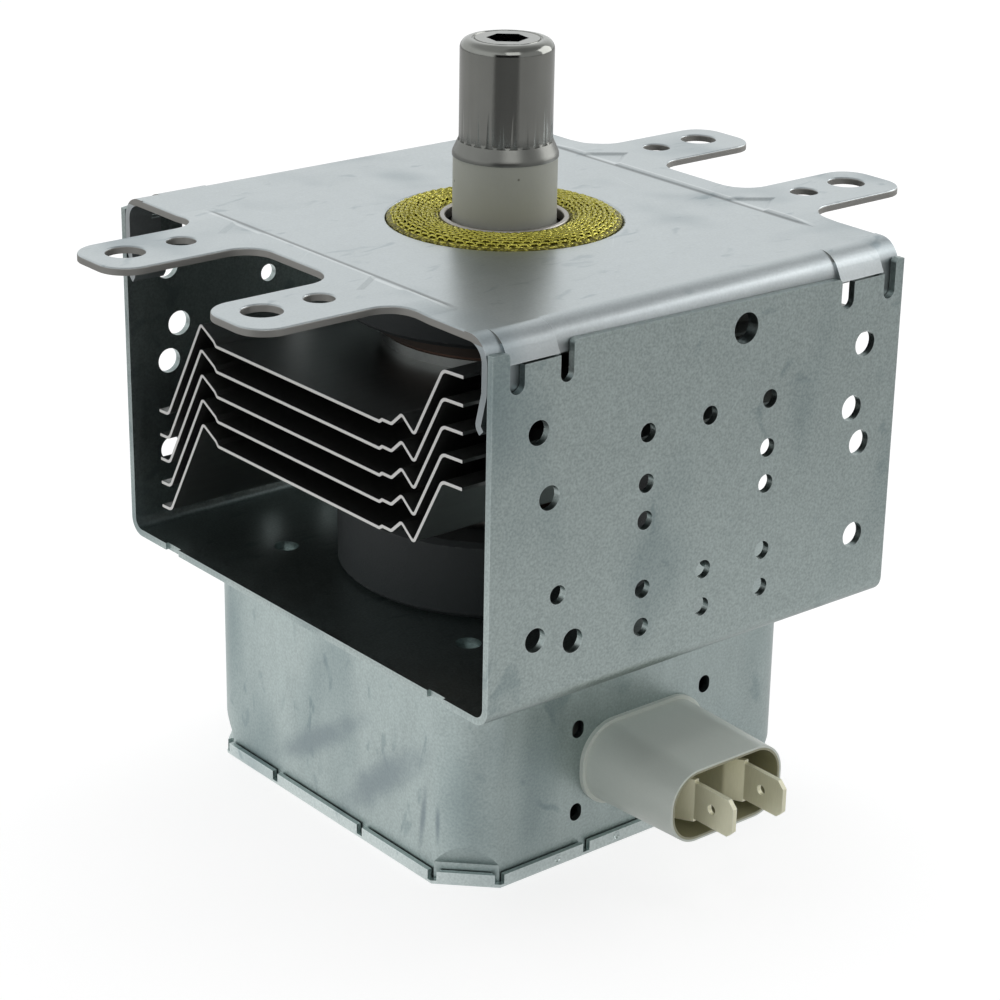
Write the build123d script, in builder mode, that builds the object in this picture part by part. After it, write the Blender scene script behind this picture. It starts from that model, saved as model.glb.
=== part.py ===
from build123d import *
import os
from math import sqrt

os.makedirs("parts", exist_ok=True)

# A microwave-oven magnetron. Z runs up its antenna, and z = 0 is the mounting face
# of the four ears. The cooling air passes along X, and the plug faces -Y.

# Yokes: two folded steel sheets nested into a box that is open along X
sheet = 1.2
yoke_length = 84.1
yoke_width = 97.4
yoke_height = 60.75
nest_gap = 0.1
seat_gap = 0.25

# Ears and their mounting holes
ear_span = 134.0
ear_above_hole = 6.5
ear_below_hole = 8.3
ear_tip_radius = 5.0
ear_root_radius = 5.0
ear_edge_round = 0.35
ear_tip_margin = 6.85
ear_hole_gap = 10.15
ear_hole_pitch_y = 36.6
outer_hole_diameter = 6.2
inner_hole_diameter = 4.65

# Strips pressed up above the main plate, with a dart at the root of each ear
strip_rise = 0.3
strip_ramp = 0.8
dart_hole_gap = 8.0
dart_depth = 5.5
dart_half_width = 4.0
strip_end_gap = 2.4
strip_end_fade = 6.0

# Folds of the upper yoke
top_bend_radius = 4.0
flange_bottom = -4.9
lock_tab_setback = 0.9
lock_tab_lean = 2.5
tongue_bottom = -14.6
tongue_width = 6.05
tongue_straight = -8.6
tongue_lean = 1.3
tongue_foot = 0.9
tongue_foot_kick = 0.8
tongue_bend_radius = 0.9
opening_lip_round = 0.5

# Top edge of the lower yoke: two notches, each with a round-ended slot at both ends
notch_floor = -4.75
notch_width = 12.0
left_notch_x = -38.9
right_notch_x = 28.2
left_slot_width = 2.75
right_slot_width = 2.5
slot_bottom = -9.0
slot_hidden_top = -3.2
left_strip_top = -2.5
right_strip_top = -2.6
right_strip_drop = 0.4
wall_top_left = -2.85
wall_top_right = -3.9
wall_corner_round = 0.8
lower_bend_radius = 3.0

# Vent holes of the front wall; the back wall has them turned half round and a little higher
large_vent_diameter = 4.3
large_vents = [(34.2, -15.55), (32.1, -26.0), (34.3, -32.3), (34.3, -48.3)]
medium_vent_diameter = 3.9
medium_vents = [(-33.3, -15.7), (-31.0, -26.3), (-33.1, -48.5), (-25.7, -50.6)]
small_vent_diameter = 3.05
vent_column_pitch = 12.7
vent_column_middle = 0.85
full_vent_rows = [-20.4, -45.8, -52.15]
split_vent_rows = [-28.5, -34.5]
lone_vent = (-28.9, -42.25)
burred_vent = (7.6, -7.85)
burred_vent_diameter = 5.0
burr_wall = 0.4
burr_height = 0.9
back_wall_rise = 1.5

# Bottom of the lower yoke
bottom_hole_pitch_x = 52.8
bottom_hole_pitch_y = 49.6
bottom_hole_diameter = 4.2
edge_nick_depth = 0.5
edge_nick_length = 3.9
edge_nick_y = -36.2

# Vacuum tube: copper anode between two iron end shells
magnet_radius = 27.2
magnet_bore_radius = 9.9
magnet_edge_chamfer = 0.8
upper_magnet_bottom = -14.2
lower_magnet_height = 13.05
shell_radius = 21.25
shell_wall = 0.9
shell_skirt = 3.2
shell_bend_radius = 0.8
tube_radius = 9.5
seat_flange_radius = 6.6
pole_thickness = 1.5
pole_bend_radius = 12.8
pole_tip_radius = 5.8
pole_depth = 6.5
anode_radius = 19.5
anode_wall = 2.2
vane_count = 10
vane_thickness = 2.0
vane_height = 9.5
vane_tip_radius = 4.6
strap_height = 1.2
strap_thickness = 0.8
small_strap_radius = 6.6
large_strap_radius = 8.6
strap_slot_margin = 0.4
strap_relief = 0.5

# Cathode and its stem
lead_radius = 0.6
side_lead_x = 2.9
end_hat_radius = 4.0
end_hat_thickness = 1.2
end_hat_overhang = 0.2
lower_hat_gap = 0.5
filament_wire_radius = 0.25
filament_radius = 1.7
filament_pitch = 1.1
stem_top = -64.5
stem_height = 10.0
stem_radius = 9.3
stem_strip_thickness = 0.8
stem_strip_width = 4.0
stem_strip_reach = 8.5
stem_strip_margin = 1.1
stem_lead_end = 1.0

# Output: ceramic, exhaust tube and cap
ceramic_radius = 8.45
ceramic_bore_radius = 6.4
ceramic_top = 10.1
tube_top = -1.2
collar_radius = 10.55
collar_top = 0.3
collar_gap = 0.1
collar_round = 0.4
antenna_wire_radius = 0.9
antenna_start_radius = 11.5
antenna_rise = 3.1
antenna_waist = (5.2, -13.5)
antenna_join_z = -4.0
antenna_top = 21.4
antenna_bend_radius = 3.0
pole_window_radius = 2.4
pole_window_x = 9.2
exhaust_wall = 0.7
exhaust_flange_radius = 7.1
exhaust_tube_radius = 2.6
exhaust_shoulder = (17.0, 19.2)
exhaust_bend_radius = 0.8
cap_radius = 7.55
cap_lip_radius = 8.6
cap_lip_height = 0.5
cap_lip_top = 12.9
cap_top = 28.9
cap_wall = 0.5
cap_edge_round = 1.6
cap_hex_radius = 3.4
cap_hex_angle = -39.75
cap_groove_radius = 5.4
cap_groove_size = 0.25
flute_count = 24
flute_tool_radius = 1.6
flute_depth = 0.1
flute_bottom = 12.6
flute_length = 6.5
flute_tilt = 0.9

# Knitted seal ring around the collar
gasket_outer_radius = 19.1
gasket_clearance = 0.1
gasket_inner_radius = 10.65
gasket_crowns = [0.15, 0.4, 0.4, 0.0]
gasket_shoulder = -0.35
gasket_cuts = 48
gasket_cut_width = 0.35
gasket_cut_depth = 0.45

# Cooling fins
fin_sheet = 0.5
fin_count = 5
fin_pitch = 4.3
top_fin_z = -20.15
fin_start_x = -41.4
fin_end_x = 37.6
fin_collar_height = 1.8
fin_profile = [
    (-41.3, 12.5),
    (-36.6, 12.25),
    (-29.9, 0.4),
    (-26.9, 2.7),
    (-24.4, 0.5),
    (-22.1, 0.5),
    (-21.4, 0.0),
    (22.3, 0.0),
    (22.9, 0.7),
    (26.6, 2.6),
    (37.1, -15.85),
    (39.8, -15.95),
]
fin_bend_radii = [1.5, 0.6, 0.6, 0.8, 0.35, 0.35, 0.35, 0.35, 0.6, 1.4]

# Filter box and its cover
box_width_x = 71.4
box_width_y = 71.3
box_wall = 0.8
box_edge_radius = 2.5
box_corner_radius = 8.0
corner_press_height = 3.0
corner_flare = 3.0
corner_flare_height = 6.0
cover_wall = 0.8
cover_gap = 0.25
cover_bottom = -97.67
cover_chamfer = 8.0
cover_lip = 2.5
cover_bend_radius = 0.8
cover_gap_width = 1.4
cover_gaps_x_side = (14.2, -9.8)
cover_gaps_y_side = (-10.8, 13.2)
cover_gap_depth = 1.6
punch_radius = 0.8
punch_depth = 0.35
punch_height = 1.65
punch_xs = (-16.9, -4.2, 18.5)
tube_clearance = 0.3

# Plug housing and feed-through capacitor in the front of the filter box
plug_x = 1.36
plug_z = -82.05
plug_rim = (26.4, 15.0)
plug_rim_thickness = 0.8
plug_base = (25.2, 13.8)
plug_mouth = (23.9, 12.5)
plug_corner_share = 0.45
plug_mouth_y = -56.0
plug_floor_y = -44.0
plug_wall = 0.7
plug_neck = (24.0, 12.6)
neck_gap = 0.1
fixing_slot = (2.4, 3.1)
fixing_pitch_x = 27.6
fixing_pitch_z = 14.9
clamp_plate = (36.0, 22.0)
clamp_plate_thickness = 0.8
clamp_hole_margin = 0.8
case_size = (22.0, 11.0)
case_depth = 16.0
case_wall = 1.6
case_corner_radius = 3.0

# Push-on blades and the rods behind them
tab_pitch = 10.84
tab_middle_x = 1.42
tab_tip_y = -63.3
tab_width = 6.35
tab_root_width = 7.4
tab_thickness = 0.8
tab_tip_chamfer = 1.2
tab_hole_diameter = 1.7
tab_hole_y = -58.5
tab_shoulder_y = -54.6
tab_jog_end_y = -51.5
tab_jog = 1.8
tab_bend_radius = 0.9
tab_root_depth = 1.5
rod_radius = 1.0
rod_end_y = -13.0

# Choke coils on ferrite rods
choke_x = 14.0
choke_wire_radius = 0.65
choke_turn_radius = 3.15
choke_pitch = 1.8
choke_length = 18.0
choke_front_y = -12.0
core_radius = 2.2
core_length = 19.0
joint_gap = 0.15

# Tolerance for telling edges and corners apart by their place
same = 0.01

# Heights and widths that follow from the sizes above
outer_hole_pitch = ear_span - 2 * ear_tip_margin
inner_hole_pitch = outer_hole_pitch - 2 * ear_hole_gap
dart_apex_x = inner_hole_pitch / 2 - dart_hole_gap
strip_foot_x = dart_apex_x - dart_depth
opening_radius = gasket_outer_radius + gasket_clearance
plate_top = -strip_rise
plate_bottom = plate_top - sheet
wall_outer = yoke_width / 2
flange_outer = wall_outer - sheet - nest_gap
flat_half = flange_outer - top_bend_radius
half_length = yoke_length / 2
floor_top = -yoke_height + sheet
strip_end_top = ear_hole_pitch_y / 2 + ear_above_hole + ear_root_radius + strip_end_gap
strip_end_bottom = ear_hole_pitch_y / 2 + ear_below_hole + ear_root_radius + strip_end_gap
strip_length = strip_end_top + strip_end_bottom
tab_length = notch_width - right_slot_width
tab_bottom = notch_floor + seat_gap

shell_top = upper_magnet_bottom
anode_top = shell_top - shell_wall - pole_thickness
lower_magnet_top = floor_top + lower_magnet_height
anode_bottom = lower_magnet_top + shell_wall + pole_thickness
tube_middle = (anode_top + anode_bottom) / 2
anode_bore = anode_radius - anode_wall
vane_top = tube_middle + vane_height / 2
vane_bottom = tube_middle - vane_height / 2

box_top = -yoke_height
box_bottom = cover_bottom + cover_wall
box_front = box_width_y / 2
cover_half_x = box_width_x / 2 + cover_gap + cover_wall
cover_half_y = box_width_y / 2 + cover_gap + cover_wall
corner_line = cover_half_x + cover_half_y - cover_chamfer - cover_wall * sqrt(2)
pressed_corner = corner_line / sqrt(2) - cover_gap


def fold(side, x_end, width, points, radius):
    """One sheet strip of the upper yoke, drawn across the box and run along its length.

    side is -1 for the front wall, or +1 for the back wall, which is the same turned half round.
    """
    with BuildPart() as strip:
        strip_plane = Plane(origin=(-side * x_end, 0, 0), x_dir=(0, side, 0), z_dir=(side, 0, 0))
        with BuildSketch(strip_plane):
            with BuildLine():
                FilletPolyline(*points, radius=radius)
            trace(line_width=sheet)
        extrude(amount=width)
    return strip.part


def can_block(inset):
    """The drawn can as a solid: its outside for inset 0, or its hollow for the wall's thickness.

    The corners are pressed flat at the open end, to go inside the cover's corner folds.
    """
    with BuildPart() as block:
        with BuildSketch(Plane.XY.offset(box_bottom)):
            RectangleRounded(box_width_x - 2 * inset, box_width_y - 2 * inset, box_corner_radius - inset)
        extrude(amount=box_top - inset - box_bottom)
        fillet(block.faces().sort_by(Axis.Z)[-1].edges(), box_edge_radius - inset)
        flat = pressed_corner - inset
        press_top = box_bottom + corner_press_height
        for side_x, side_y in ((1, 1), (1, -1), (-1, 1), (-1, -1)):
            with BuildSketch(Plane(origin=(0, 0, 0), x_dir=(side_x, side_y, 0), z_dir=(side_y, -side_x, 0))):
                with BuildLine():
                    Polyline(
                        (flat, box_bottom - sheet),
                        (flat, press_top),
                        (flat + corner_flare, press_top + corner_flare_height),
                        (flat + 2 * corner_flare, press_top + corner_flare_height),
                        (flat + 2 * corner_flare, box_bottom - sheet),
                        close=True,
                    )
                make_face()
            extrude(amount=2 * box_corner_radius, both=True, mode=Mode.SUBTRACT)
    return block.part


def turned_ring(inner, outer, bottom, top):
    """A plain ring about the tube's axis."""
    with BuildPart() as ring:
        with BuildSketch(Plane.XY.offset(bottom)):
            Circle(outer)
            Circle(inner, mode=Mode.SUBTRACT)
        extrude(amount=top - bottom)
    return ring


# Upper yoke: plate with four ears, folded down at front and back inside the lower yoke
leg_middle = flange_outer - sheet / 2
leg_top = (flat_half - sheet, plate_top - sheet / 2)
left_notch_end = left_notch_x + tab_length
right_notch_end = right_notch_x + tab_length
flange_spans = [
    (left_notch_x, half_length + left_notch_x),
    (right_notch_x, right_notch_x - left_notch_end),
    (half_length, half_length - right_notch_end),
]
with BuildPart() as upper_yoke:
    with BuildSketch(Plane.XY.offset(plate_top)) as blank:
        Rectangle(yoke_length, 2 * flat_half)
        ear_middle = (ear_above_hole - ear_below_hole) / 2
        with Locations((0, ear_hole_pitch_y / 2 + ear_middle), (0, -ear_hole_pitch_y / 2 + ear_middle)):
            Rectangle(ear_span, ear_above_hole + ear_below_hole)
        fillet(blank.vertices().filter_by(lambda v: abs(v.X) > half_length + same), ear_tip_radius)
        plate_corners = blank.vertices().filter_by(lambda v: abs(abs(v.X) - half_length) < same)
        fillet(plate_corners.filter_by(lambda v: abs(v.Y) < flat_half - same), ear_root_radius)
    extrude(amount=-sheet)
    # The strip under the ears is pressed up: raised above the plate, and hollow below
    for level, how in ((plate_top, Mode.ADD), (plate_bottom, Mode.SUBTRACT)):
        for side in (1, -1):
            far_x = side * (ear_span / 2 + 2 * strip_ramp)
            foot_x = side * strip_foot_x
            apex_x = side * dart_apex_x
            hole_y = ear_hole_pitch_y / 2
            with BuildSketch(Plane.XY.offset(level)) as foot:
                with BuildLine():
                    Polyline(
                        (far_x, strip_end_top),
                        (foot_x, strip_end_top),
                        (foot_x, hole_y + dart_half_width),
                        (apex_x, hole_y),
                        (foot_x, hole_y - dart_half_width),
                        (foot_x, -hole_y + dart_half_width),
                        (apex_x, -hole_y),
                        (foot_x, -hole_y - dart_half_width),
                        (foot_x, -strip_end_bottom),
                        (far_x, -strip_end_bottom),
                        close=True,
                    )
                make_face()
            with BuildSketch(Plane.XY.offset(level + strip_rise)):
                add(foot.sketch_local)
                offset(amount=-strip_ramp, kind=Kind.INTERSECTION, mode=Mode.REPLACE)
                # The strip fades out slowly towards its two ends
                with Locations((0, (strip_end_top - strip_end_bottom) / 2)):
                    Rectangle(2 * ear_span, strip_length - 2 * strip_end_fade, mode=Mode.INTERSECT)
            loft(ruled=True, mode=how)
    extrude(blank.sketch, amount=2 * sheet, both=True, mode=Mode.INTERSECT)
    with BuildSketch(Plane.XY.offset(sheet)):
        Circle(opening_radius)
        with GridLocations(outer_hole_pitch, ear_hole_pitch_y, 2, 2):
            Circle(outer_hole_diameter / 2)
        with GridLocations(inner_hole_pitch, ear_hole_pitch_y, 2, 2):
            Circle(inner_hole_diameter / 2)
    extrude(amount=-4 * sheet, mode=Mode.SUBTRACT)
    top_edges = upper_yoke.edges().filter_by_position(Axis.Z, -same, same)
    ear_edges = top_edges.filter_by(lambda e: abs(e.center().X) > half_length - same)
    fillet(ear_edges, ear_edge_round)
    round_edges = upper_yoke.edges().filter_by(GeomType.CIRCLE)
    rim = round_edges.filter_by(lambda e: abs(e.radius - opening_radius) < same)
    fillet(rim.sort_by(Axis.Z)[-1], opening_lip_round)
    # Front and back folds: plain flange, two lock tabs that lean out into the wall's notches, and
    # two bowed corner tongues
    for side in (-1, 1):
        for x_end, width in flange_spans:
            flange = [leg_top, (leg_middle, leg_top[1]), (leg_middle, flange_bottom)]
            add(fold(side, x_end, width, flange, top_bend_radius - sheet / 2))
        for x_end in (left_notch_end, right_notch_end):
            tab_corner = leg_middle - lock_tab_setback
            tab_foot = (tab_corner + lock_tab_lean, tab_bottom - sheet)
            tab = [leg_top, (tab_corner, leg_top[1]), tab_foot]
            add(fold(side, x_end, tab_length, tab, top_bend_radius - sheet / 2))
            # The tab's foot is cut level, just above the notch's floor
            with BuildSketch(Plane.XY.offset(tab_bottom)):
                with Locations((-side * (x_end - tab_length / 2), side * wall_outer)):
                    Rectangle(tab_length, 4 * sheet)
            extrude(amount=-2 * sheet, mode=Mode.SUBTRACT)
        for x_end in (tongue_width - half_length, half_length):
            tongue = [
                (leg_middle, flange_bottom),
                (leg_middle, tongue_straight),
                (leg_middle - tongue_lean, tongue_bottom + tongue_foot),
                (leg_middle - tongue_lean + tongue_foot_kick, tongue_bottom),
            ]
            add(fold(side, x_end, tongue_width, tongue, tongue_bend_radius))
upper_yoke.part.label = "upper_yoke"
export_step(upper_yoke.part, "parts/upper_yoke.step")

# Lower yoke: a deep U whose walls carry the vent holes and the notches for the lock tabs
with BuildPart() as lower_yoke:
    wall_middle = wall_outer - sheet / 2
    with BuildSketch(Plane.YZ.offset(-half_length)):
        with BuildLine():
            FilletPolyline(
                (-wall_middle, left_strip_top),
                (-wall_middle, floor_top - sheet / 2),
                (wall_middle, floor_top - sheet / 2),
                (wall_middle, left_strip_top),
                radius=lower_bend_radius - sheet / 2,
            )
        trace(line_width=sheet)
    extrude(amount=yoke_length)
    for side, rise in ((-1, 0), (1, back_wall_rise)):
        wall_plane = Plane(origin=(0, side * wall_outer, 0), x_dir=(-side, 0, 0), z_dir=(0, side, 0))
        burr_x, burr_z = burred_vent
        with BuildSketch(wall_plane.offset(-sheet)):
            with Locations((burr_x, burr_z)):
                Circle(burred_vent_diameter / 2 + burr_wall)
        extrude(amount=-burr_height)
        with BuildSketch(wall_plane):
            with BuildLine():
                Polyline(
                    (-half_length - sheet, sheet),
                    (-half_length - sheet, left_strip_top),
                    (left_notch_x, left_strip_top),
                    (left_notch_x, notch_floor),
                    (left_notch_x + notch_width, notch_floor),
                    (left_notch_x + notch_width, wall_top_left),
                    (right_notch_x, wall_top_right),
                    (right_notch_x, notch_floor),
                    (right_notch_x + notch_width, notch_floor),
                    (right_notch_x + notch_width, right_strip_top),
                    (half_length + sheet, right_strip_top - right_strip_drop),
                    (half_length + sheet, sheet),
                    close=True,
                )
            edge = make_face()
            corners = edge.vertices().filter_by_position(Axis.Y, notch_floor + same, left_strip_top + same)
            fillet(corners.filter_by(lambda v: abs(v.X) < half_length), wall_corner_round)
            slot_length = slot_hidden_top - slot_bottom
            slot_middle = (slot_hidden_top + slot_bottom) / 2
            for notch_x in (left_notch_x, right_notch_x):
                with Locations((notch_x + left_slot_width / 2, slot_middle)):
                    SlotOverall(slot_length, left_slot_width, rotation=90)
                with Locations((notch_x + notch_width - right_slot_width / 2, slot_middle)):
                    SlotOverall(slot_length, right_slot_width, rotation=90)
            with Locations(*[(x, z + rise) for x, z in large_vents]):
                Circle(large_vent_diameter / 2)
            with Locations(*[(x, z + rise) for x, z in medium_vents]):
                Circle(medium_vent_diameter / 2)
            for z in full_vent_rows:
                with Locations((vent_column_middle, z + rise)):
                    with GridLocations(vent_column_pitch, 0, 3, 1):
                        Circle(small_vent_diameter / 2)
            for z in split_vent_rows:
                with Locations((vent_column_middle, z + rise)):
                    with GridLocations(2 * vent_column_pitch, 0, 2, 1):
                        Circle(small_vent_diameter / 2)
            with Locations((lone_vent[0], lone_vent[1] + rise)):
                Circle(small_vent_diameter / 2)
            with Locations((burr_x, burr_z)):
                Circle(burred_vent_diameter / 2)
        extrude(amount=-3 * sheet, mode=Mode.SUBTRACT)
    with BuildSketch(Plane.XY.offset(-yoke_height - sheet)):
        Circle(tube_radius + tube_clearance)
        with GridLocations(bottom_hole_pitch_x, bottom_hole_pitch_y, 2, 2):
            Circle(bottom_hole_diameter / 2)
        with Locations((-half_length, edge_nick_y), (-half_length, -edge_nick_y)):
            Rectangle(2 * edge_nick_depth, edge_nick_length)
    extrude(amount=3 * sheet, mode=Mode.SUBTRACT)
lower_yoke.part.label = "lower_yoke"
export_step(lower_yoke.part, "parts/lower_yoke.step")

# Ring magnets: one under the top plate, one on the floor of the lower yoke
for name, bottom, top in (
    ("upper_magnet", upper_magnet_bottom, plate_bottom),
    ("lower_magnet", floor_top, lower_magnet_top),
):
    with BuildPart() as magnet:
        with BuildSketch(Plane.XY.offset(bottom)):
            Circle(magnet_radius)
        extrude(amount=top - bottom)
        chamfer(magnet.edges().filter_by(GeomType.CIRCLE), magnet_edge_chamfer)
        with BuildSketch(Plane.XY.offset(bottom)):
            Circle(magnet_bore_radius)
        extrude(amount=top - bottom, mode=Mode.SUBTRACT)
    magnet.part.label = name
    export_step(magnet.part, f"parts/{name}.step")

# Output-side shell: drawn iron cup over the anode's end, with the tube up to the ceramic
shell_middle = shell_radius - shell_wall / 2
tube_wall_middle = tube_radius - shell_wall / 2
with BuildPart() as output_side_shell:
    with BuildSketch(Plane.XZ):
        with BuildLine():
            FilletPolyline(
                (shell_middle, shell_top - shell_skirt),
                (shell_middle, shell_top - shell_wall / 2),
                (tube_wall_middle, shell_top - shell_wall / 2),
                (tube_wall_middle, tube_top - shell_wall / 2),
                (seat_flange_radius, tube_top - shell_wall / 2),
                radius=shell_bend_radius,
            )
        trace(line_width=shell_wall)
    revolve(axis=Axis.Z)
output_side_shell.part.label = "output_side_shell"
export_step(output_side_shell.part, "parts/output_side_shell.step")

# Input-side shell: the same cup at the other end, with the tube down into the filter box
with BuildPart() as input_side_shell:
    with BuildSketch(Plane.XZ):
        with BuildLine():
            FilletPolyline(
                (shell_middle, lower_magnet_top + shell_skirt),
                (shell_middle, lower_magnet_top + shell_wall / 2),
                (tube_wall_middle, lower_magnet_top + shell_wall / 2),
                (tube_wall_middle, stem_top + shell_wall / 2),
                (seat_flange_radius, stem_top + shell_wall / 2),
                radius=shell_bend_radius,
            )
        trace(line_width=shell_wall)
    revolve(axis=Axis.Z)
input_side_shell.part.label = "input_side_shell"
export_step(input_side_shell.part, "parts/input_side_shell.step")

# Pole pieces: iron funnels that bring the field to the gap around the cathode
for name, end, inward in (("upper_pole_piece", anode_top, -1), ("lower_pole_piece", anode_bottom, 1)):
    with BuildPart() as pole_piece:
        flange_z = end - inward * pole_thickness / 2
        with BuildSketch(Plane.XZ):
            with BuildLine():
                Polyline(
                    (anode_radius, flange_z),
                    (pole_bend_radius, flange_z),
                    (pole_tip_radius, flange_z + inward * pole_depth),
                )
            trace(line_width=pole_thickness)
        revolve(axis=Axis.Z)
        if inward < 0:
            with Locations((pole_window_x, 0, flange_z - pole_depth / 2)):
                Cylinder(pole_window_radius, 2 * pole_depth, mode=Mode.SUBTRACT)
    pole_piece.part.label = name
    export_step(pole_piece.part, f"parts/{name}.step")

# Anode cylinder
anode_cylinder = turned_ring(anode_bore, anode_radius, anode_bottom, anode_top)
anode_cylinder.part.label = "anode_cylinder"
export_step(anode_cylinder.part, "parts/anode_cylinder.step")

# Anode vanes: radial copper plates, slotted for the straps. Each touches one strap of a pair,
# the other one at its lower edge, and clears the rest.
slot_inner = small_strap_radius - strap_slot_margin
slot_outer = large_strap_radius + strap_thickness + strap_slot_margin
slot_step = (small_strap_radius + strap_thickness + large_strap_radius) / 2
upper_seat = vane_top - strap_height
lower_seat = vane_bottom + strap_height
for number in range(vane_count):
    angle = number * 360 / vane_count
    inner_relief, outer_relief = (strap_relief, 0) if number % 2 == 0 else (0, strap_relief)
    with BuildPart() as vane:
        with BuildSketch(Plane.XY.rotated((0, 0, angle)).offset(vane_bottom)):
            with Locations((anode_bore / 2, 0)):
                Rectangle(anode_bore, vane_thickness)
            Circle(anode_bore, mode=Mode.INTERSECT)
            Circle(vane_tip_radius, mode=Mode.SUBTRACT)
        extrude(amount=vane_height)
        for edge_z, inner_floor, outer_floor in (
            (vane_top, upper_seat - inner_relief, upper_seat - outer_relief),
            (vane_bottom, lower_seat + outer_relief, lower_seat + inner_relief),
        ):
            with BuildSketch(Plane.XZ.rotated((0, 0, angle))):
                with BuildLine():
                    Polyline(
                        (slot_inner, edge_z),
                        (slot_inner, inner_floor),
                        (slot_step, inner_floor),
                        (slot_step, outer_floor),
                        (slot_outer, outer_floor),
                        (slot_outer, edge_z),
                        close=True,
                    )
                make_face()
            extrude(amount=vane_thickness, both=True, mode=Mode.SUBTRACT)
    vane.part.label = f"anode_vane_{number + 1}"
    export_step(vane.part, f"parts/anode_vane_{number + 1}.step")

# Strap rings: two concentric rings at each end of the vanes
for place, bottom in (("upper", upper_seat), ("lower", vane_bottom)):
    for size, radius in (("small", small_strap_radius), ("large", large_strap_radius)):
        strap_ring = turned_ring(radius, radius + strap_thickness, bottom, bottom + strap_height)
        strap_ring.part.label = f"{place}_{size}_strap"
        export_step(strap_ring.part, f"parts/{place}_{size}_strap.step")

# End hats: molybdenum discs that hold the filament between them
upper_hat_bottom = vane_top - end_hat_overhang
upper_hat_top = upper_hat_bottom + end_hat_thickness
lower_hat_top = vane_bottom + end_hat_overhang
lower_hat_bottom = lower_hat_top - end_hat_thickness
upper_end_hat = turned_ring(lead_radius, end_hat_radius, upper_hat_bottom, upper_hat_top)
upper_end_hat.part.label = "upper_end_hat"
export_step(upper_end_hat.part, "parts/upper_end_hat.step")

lower_hat_bore = lead_radius + lower_hat_gap
lower_end_hat = turned_ring(lower_hat_bore, end_hat_radius, lower_hat_bottom, lower_hat_top)
lower_end_hat.part.label = "lower_end_hat"
export_step(lower_end_hat.part, "parts/lower_end_hat.step")

# Filament: a tungsten helix from hat to hat
with BuildPart() as filament:
    filament_height = upper_hat_bottom - lower_hat_top - 2 * filament_wire_radius
    with BuildLine() as filament_path:
        Helix(
            pitch=filament_pitch,
            height=filament_height,
            radius=filament_radius,
            center=(0, 0, lower_hat_top + filament_wire_radius),
        )
    with BuildSketch(Plane(origin=filament_path.line @ 0, z_dir=filament_path.line % 0)):
        Circle(filament_wire_radius)
    sweep(path=filament_path.line, is_frenet=True)
filament.part.label = "filament"
export_step(filament.part, "parts/filament.step")

# Stem ceramic: closes the tube in the filter box, bored for the two cathode leads
stem_bottom = stem_top - stem_height
with BuildPart() as stem_ceramic:
    with BuildSketch(Plane.XY.offset(stem_bottom)):
        Circle(stem_radius)
        with Locations((0, 0), (side_lead_x, 0)):
            Circle(lead_radius, mode=Mode.SUBTRACT)
    extrude(amount=stem_height)
stem_ceramic.part.label = "stem_ceramic"
export_step(stem_ceramic.part, "parts/stem_ceramic.step")

# Cathode leads: the centre one carries the upper hat, the side one the lower hat
lead_bottom = stem_bottom - stem_strip_thickness - stem_lead_end
for name, x, top in (
    ("centre_lead", 0, upper_hat_top),
    ("side_lead", side_lead_x, lower_hat_bottom),
):
    with BuildPart() as lead:
        with BuildSketch(Plane.XY.offset(lead_bottom)):
            with Locations((x, 0)):
                Circle(lead_radius)
        extrude(amount=top - lead_bottom)
    lead.part.label = name
    export_step(lead.part, f"parts/{name}.step")

# Stem strips: one from each lead to its choke, flat under the stem ceramic
for name, lead_x, side in (("centre_lead_strip", 0, -1), ("side_lead_strip", side_lead_x, 1)):
    with BuildPart() as strip:
        with BuildSketch(Plane.XY.offset(stem_bottom)):
            inner_x = lead_x - side * stem_strip_margin
            with Locations(((inner_x + side * stem_strip_reach) / 2, 0)):
                Rectangle(abs(side * stem_strip_reach - inner_x), stem_strip_width)
            with Locations((lead_x, 0)):
                Circle(lead_radius, mode=Mode.SUBTRACT)
        extrude(amount=-stem_strip_thickness)
    strip.part.label = name
    export_step(strip.part, f"parts/{name}.step")

# Output ceramic: the insulating ring that the cap stands on
output_ceramic = turned_ring(ceramic_bore_radius, ceramic_radius, tube_top, ceramic_top)
output_ceramic.part.label = "output_ceramic"
export_step(output_ceramic.part, "parts/output_ceramic.step")

# Collar: pressed ring that centres the seal around the tube
with BuildPart() as gasket_collar:
    with BuildSketch(Plane.XY.offset(plate_bottom)):
        Circle(collar_radius)
        Circle(tube_radius + collar_gap, mode=Mode.SUBTRACT)
    extrude(amount=collar_top - plate_bottom)
    fillet(gasket_collar.faces().sort_by(Axis.Z)[-1].edges(), collar_round)
gasket_collar.part.label = "gasket_collar"
export_step(gasket_collar.part, "parts/gasket_collar.step")

# Seal ring: knitted brass wire, pressed to a crowned ring with ribs and cross furrows
with BuildPart() as rf_gasket:
    ridge_width = (gasket_outer_radius - gasket_inner_radius) / len(gasket_crowns)
    with BuildSketch(Plane.XZ):
        with BuildLine():
            start = (gasket_inner_radius, gasket_shoulder)
            for crown in gasket_crowns:
                end = (start[0] + ridge_width, gasket_shoulder)
                ThreePointArc(start, (start[0] + ridge_width / 2, crown), end)
                start = end
            Polyline(
                (gasket_outer_radius, gasket_shoulder),
                (gasket_outer_radius, plate_bottom),
                (gasket_inner_radius, plate_bottom),
                (gasket_inner_radius, gasket_shoulder),
            )
        make_face()
    revolve(axis=Axis.Z)
    with BuildSketch(Plane.XY.offset(gasket_crowns[1] + gasket_cut_depth)):
        with PolarLocations((gasket_inner_radius + gasket_outer_radius) / 2, gasket_cuts):
            Rectangle(2 * (gasket_outer_radius - gasket_inner_radius), gasket_cut_width)
    extrude(amount=-2 * gasket_cut_depth, mode=Mode.SUBTRACT)
rf_gasket.part.label = "rf_gasket"
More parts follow.
